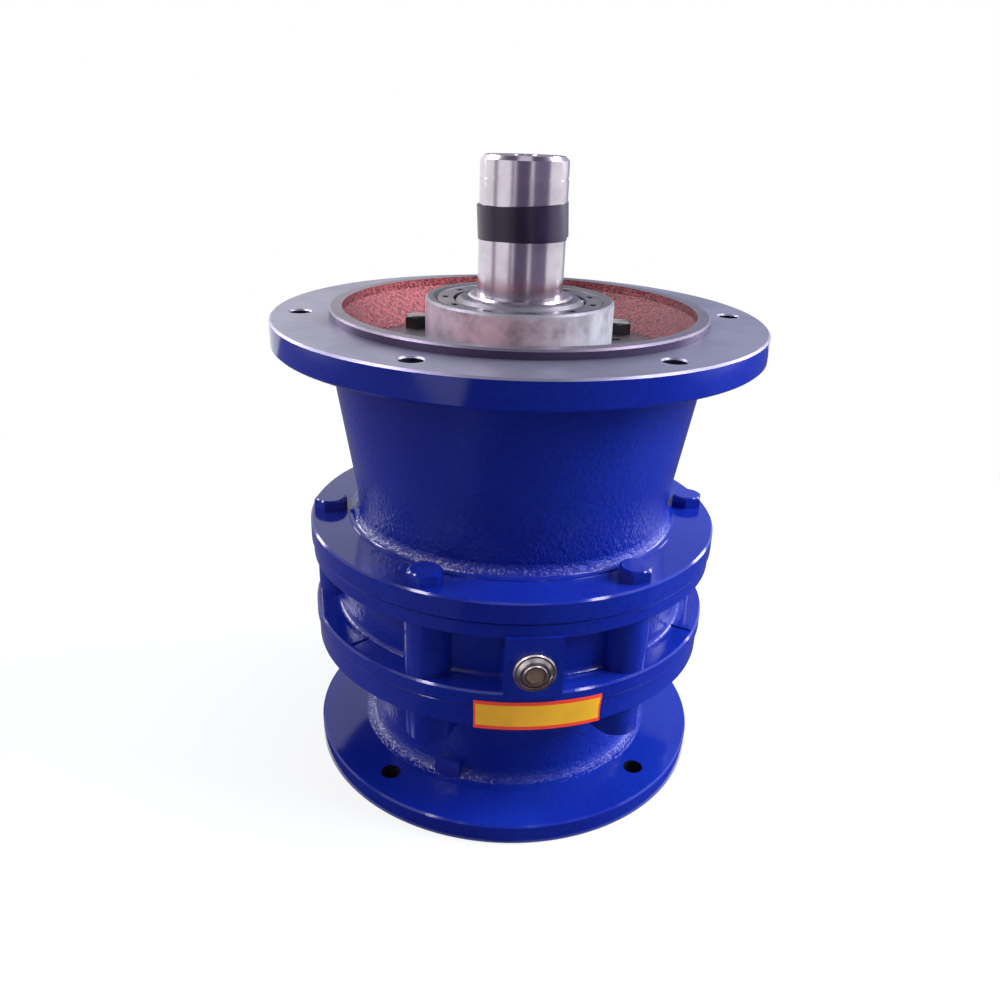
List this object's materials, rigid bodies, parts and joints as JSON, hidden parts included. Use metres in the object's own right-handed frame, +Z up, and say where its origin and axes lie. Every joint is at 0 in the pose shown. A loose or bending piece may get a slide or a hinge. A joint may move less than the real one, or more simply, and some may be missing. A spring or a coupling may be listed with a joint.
{
  "type": "cycloidal reducer",
  "caption": "Flange-mounted cycloidal pin-wheel reducer with hollow input, twin cycloid discs, roller bearing in an open bowl and a keyed output shaft.",
  "frame": {"origin": "centre of the motor face, on the lower face of the input housing", "axes": "+Z up along the reducer axis towards the output shaft end; the eccentric of disc a points to +X at rest; the shaft key is on +Y; the oil plug is near -Y"},
  "size_m": [0.26, 0.26, 0.337],
  "materials": {
    "blue_paint": "gloss enamel over a casting",
    "gasket_paper": "pressed fibre",
    "bearing_steel": "ground and polished",
    "turned_steel": "turned",
    "phosphated_steel": "phosphated",
    "plug_nickel": "nickel plated",
    "plug_glass": "clear over brown oil",
    "black_oxide": "black oxide",
    "brass": "machined",
    "seal_rubber": "moulded nitrile",
    "black_tape": "satin vinyl"
  },
  "bodies": {
    "housing": {"input_housing": "blue_paint", "input_gasket": "gasket_paper", "pin_gear_housing": "blue_paint", "output_gasket": "gasket_paper", "output_housing": "blue_paint", "housing_bolts": "blue_paint", "ring_pins": "bearing_steel", "ring_pin_sleeves": "phosphated_steel", "oil_plug_washer": "plug_nickel", "oil_plug": "plug_nickel", "oil_plug_lens": "plug_glass", "bearing_retainer_plate": "turned_steel", "retainer_bolts": "black_oxide", "output_oil_seal": "seal_rubber", "input_oil_seal": "seal_rubber", "input_bearing_outer_ring": "bearing_steel", "input_housing_circlip": "phosphated_steel", "inner_bearing_outer_ring": "bearing_steel", "hub_circlip": "phosphated_steel", "outer_bearing_outer_ring": "bearing_steel"},
    "input_shaft": {"input_shaft": "turned_steel", "input_shaft_key": "phosphated_steel", "eccentric_sleeve": "bearing_steel", "sleeve_circlip": "phosphated_steel", "input_bearing_inner_ring": "bearing_steel", "pilot_bearing_inner_ring": "bearing_steel"},
    "output_shaft": {"output_shaft": "turned_steel", "output_pins": "turned_steel", "output_pin_rollers": "phosphated_steel", "disc_spacer_ring": "turned_steel", "pilot_bearing_outer_ring": "bearing_steel", "inner_bearing_inner_ring": "bearing_steel", "outer_bearing_inner_ring": "bearing_steel", "output_shaft_key": "phosphated_steel", "shaft_tape": "black_tape"},
    "disc_a": {"cycloid_disc_a": "bearing_steel"},
    "disc_b": {"cycloid_disc_b": "bearing_steel"},
    "eccentric_bearing_a": {"eccentric_rollers_a": "bearing_steel", "eccentric_cage_a": "brass"},
    "eccentric_bearing_b": {"eccentric_rollers_b": "bearing_steel", "eccentric_cage_b": "brass"},
    "input_ball_cage": {"input_bearing_balls": "bearing_steel", "input_bearing_cage": "brass"},
    "pilot_ball_cage": {"pilot_bearing_balls": "bearing_steel", "pilot_bearing_cage": "brass"},
    "inner_ball_cage": {"inner_bearing_balls": "bearing_steel", "inner_bearing_cage": "brass"},
    "outer_roller_cage": {"outer_bearing_rollers": "bearing_steel", "outer_bearing_cage": "phosphated_steel"}
  },
  "joints": [
    {"name": "input_spin", "type": "hinge", "parent": "housing", "child": "input_shaft", "pos_m": [0, 0, 0.1], "axis": [0, 0, 1], "continuous": true},
    {"name": "output_spin", "type": "hinge", "parent": "housing", "child": "output_shaft", "pos_m": [0, 0, 0.1], "axis": [0, 0, 1], "continuous": true},
    {"name": "disc_a_spin", "type": "hinge", "parent": "input_shaft", "child": "disc_a", "pos_m": [0.0025, 0, 0.118], "axis": [0, 0, 1], "continuous": true},
    {"name": "disc_b_spin", "type": "hinge", "parent": "input_shaft", "child": "disc_b", "pos_m": [-0.0025, 0, 0.103], "axis": [0, 0, 1], "continuous": true},
    {"name": "eccentric_bearing_a_spin", "type": "hinge", "parent": "input_shaft", "child": "eccentric_bearing_a", "pos_m": [0.0025, 0, 0.118], "axis": [0, 0, 1], "continuous": true},
    {"name": "eccentric_bearing_b_spin", "type": "hinge", "parent": "input_shaft", "child": "eccentric_bearing_b", "pos_m": [-0.0025, 0, 0.103], "axis": [0, 0, 1], "continuous": true},
    {"name": "input_cage_spin", "type": "hinge", "parent": "housing", "child": "input_ball_cage", "pos_m": [0, 0, 0.07], "axis": [0, 0, 1], "continuous": true},
    {"name": "pilot_cage_spin", "type": "hinge", "parent": "housing", "child": "pilot_ball_cage", "pos_m": [0, 0, 0.136], "axis": [0, 0, 1], "continuous": true},
    {"name": "inner_cage_spin", "type": "hinge", "parent": "housing", "child": "inner_ball_cage", "pos_m": [0, 0, 0.1655], "axis": [0, 0, 1], "continuous": true},
    {"name": "outer_cage_spin", "type": "hinge", "parent": "housing", "child": "outer_roller_cage", "pos_m": [0, 0, 0.2545], "axis": [0, 0, 1], "continuous": true}
  ],
  "couplings": [
    {"joint": "output_spin", "follows": "input_spin", "ratio": -0.058824},
    {"joint": "disc_a_spin", "follows": "input_spin", "ratio": -1.0588},
    {"joint": "disc_b_spin", "follows": "input_spin", "ratio": -1.0588},
    {"joint": "eccentric_bearing_a_spin", "follows": "input_spin", "ratio": -0.60498},
    {"joint": "eccentric_bearing_b_spin", "follows": "input_spin", "ratio": -0.60498},
    {"joint": "input_cage_spin", "follows": "input_spin", "ratio": 0.3928},
    {"joint": "pilot_cage_spin", "follows": "input_spin", "ratio": 0.35549},
    {"joint": "inner_cage_spin", "follows": "input_spin", "ratio": -0.024048},
    {"joint": "outer_cage_spin", "follows": "input_spin", "ratio": -0.025316}
  ]
}
